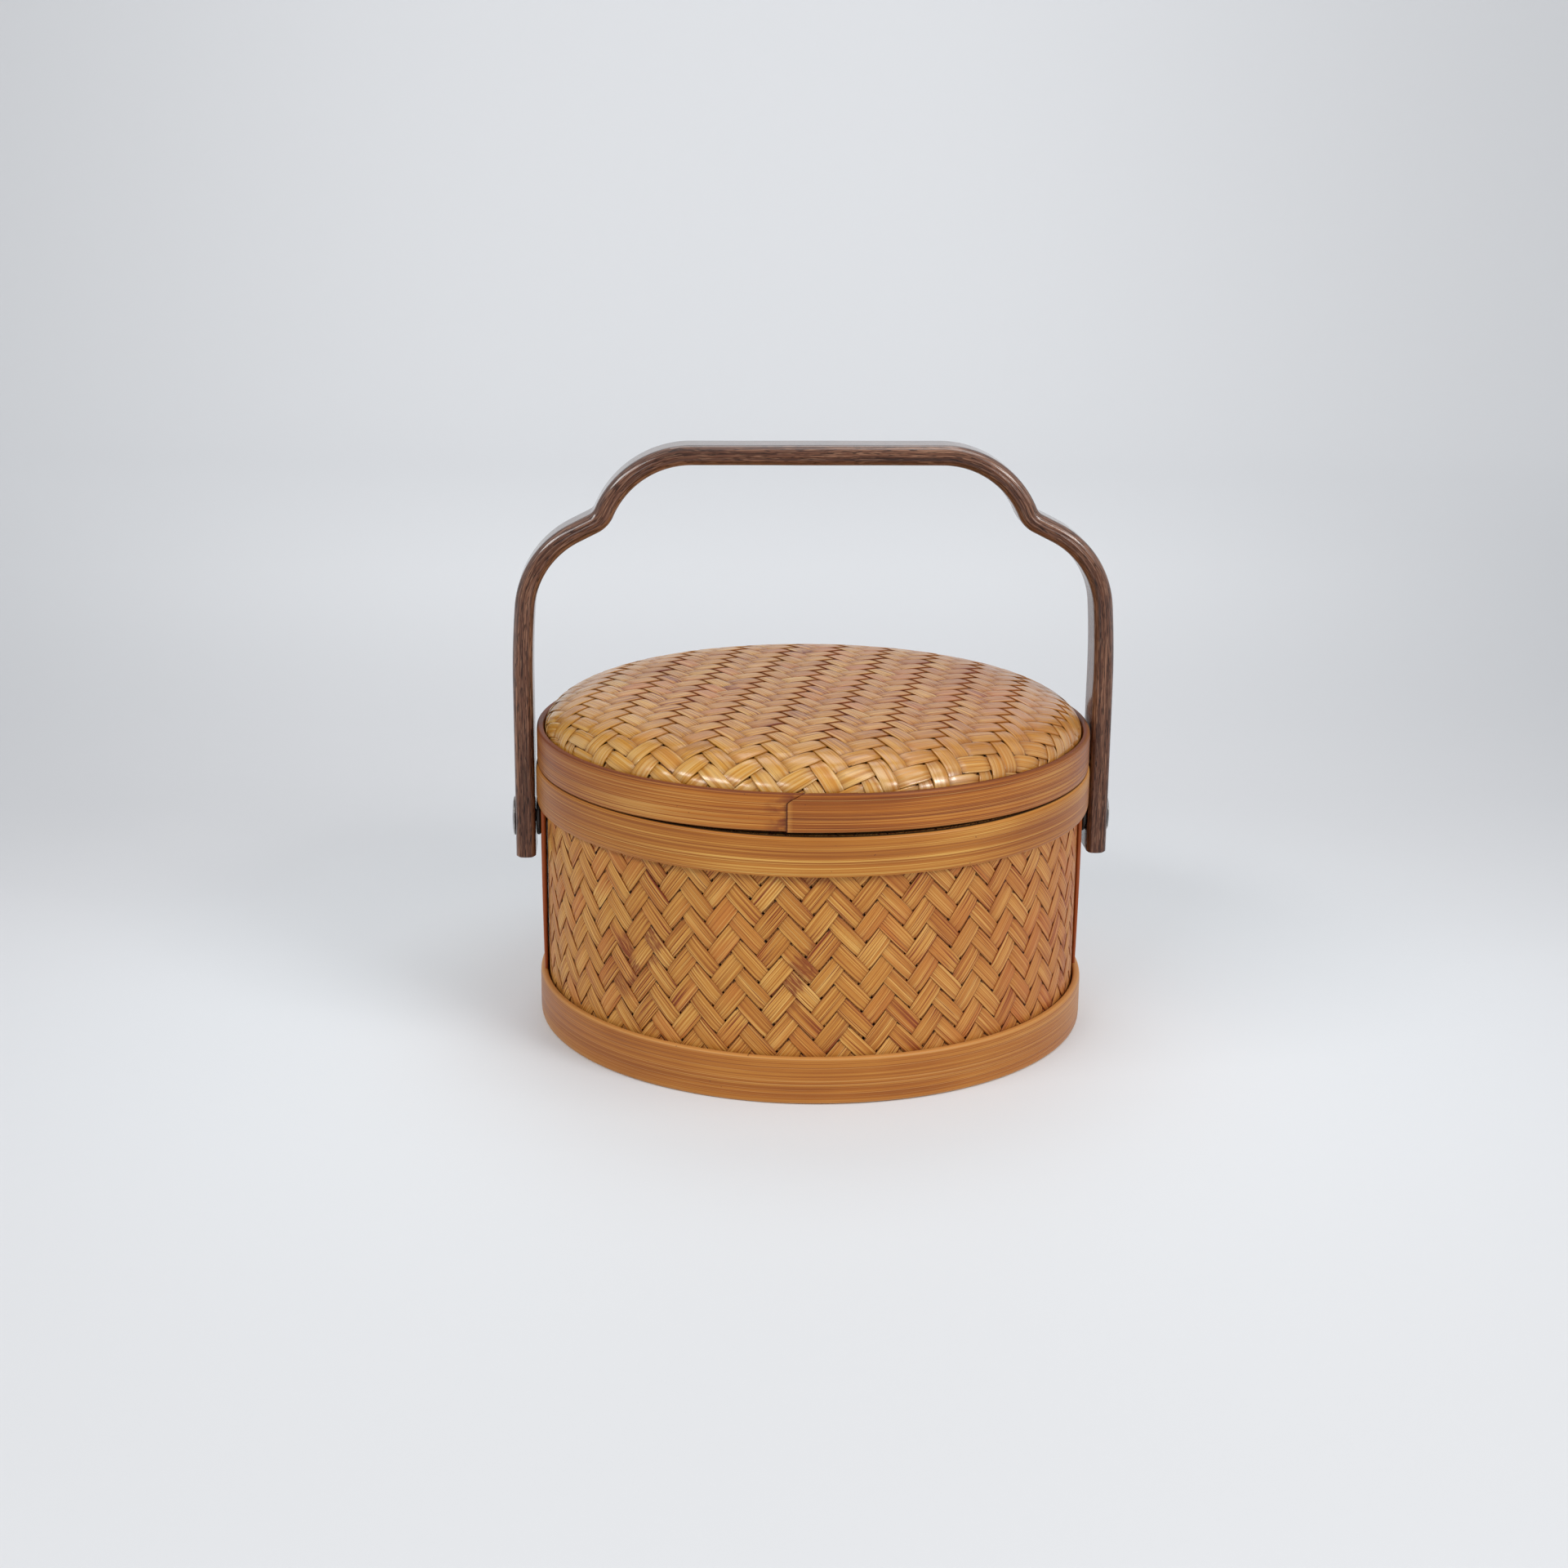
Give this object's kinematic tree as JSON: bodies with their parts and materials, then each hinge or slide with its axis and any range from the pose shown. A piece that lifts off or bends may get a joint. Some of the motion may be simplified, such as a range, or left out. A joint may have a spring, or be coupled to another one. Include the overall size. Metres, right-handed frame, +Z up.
{
  "type": "lidded bamboo basket",
  "caption": "Round lidded basket of woven split bamboo, banded at foot, rim and lid, with a folding dark wooden handle arched in a cloud shape.",
  "frame": {"origin": "centre of the underside, on the surface that the basket stands on", "axes": "+Z up, +X through the right pivot, -Y the side that the picture shows"},
  "size_m": [0.2412, 0.221, 0.2295],
  "materials": {
    "weave": "split bamboo strips in twill, toned golden brown",
    "lid_weave": "split bamboo strips in twill, toned brown, satin",
    "band": "bent bamboo strip, satin, with fine fibre stripes",
    "lid_band": "bent bamboo strip, satin, stained reddish brown",
    "hoop": "bent bamboo strip, plain",
    "slat": "flat bamboo slat, plain",
    "stay": "flat bamboo strip, satin",
    "dark_wood": "dark walnut-brown, oiled to a low gloss",
    "steel": "dulled steel",
    "spacer": "black washer fibre"
  },
  "bodies": {
    "basket": {"wall": "weave", "floor": "weave", "base_band": "band", "base_inner_hoop": "hoop", "slat_long": "slat", "slat_cross": "slat", "rim_band": "band", "rim_inner_hoop": "hoop", "stay_left": "stay", "stay_right": "stay", "spacer_left": "spacer", "spacer_right": "spacer", "pivot_left": "steel", "pivot_right": "steel", "backing_washer_left": "steel", "backing_washer_right": "steel", "nut_left": "steel", "nut_right": "steel"},
    "handle": {"handle": "dark_wood"},
    "lid": {"lid_dome": "lid_weave", "lid_band": "lid_band", "lid_inner_hoop": "hoop"}
  },
  "joints": [
    {"name": "handle_hinge", "type": "hinge", "parent": "basket", "child": "handle", "pos_m": [0, 0, 0.08], "axis": [1, 0, 0], "range_deg": [-118, 118]},
    {"name": "lid_lift", "type": "slide", "parent": "basket", "child": "lid", "axis": [0, 0, 1], "range_m": [0, 0.038]}
  ]
}
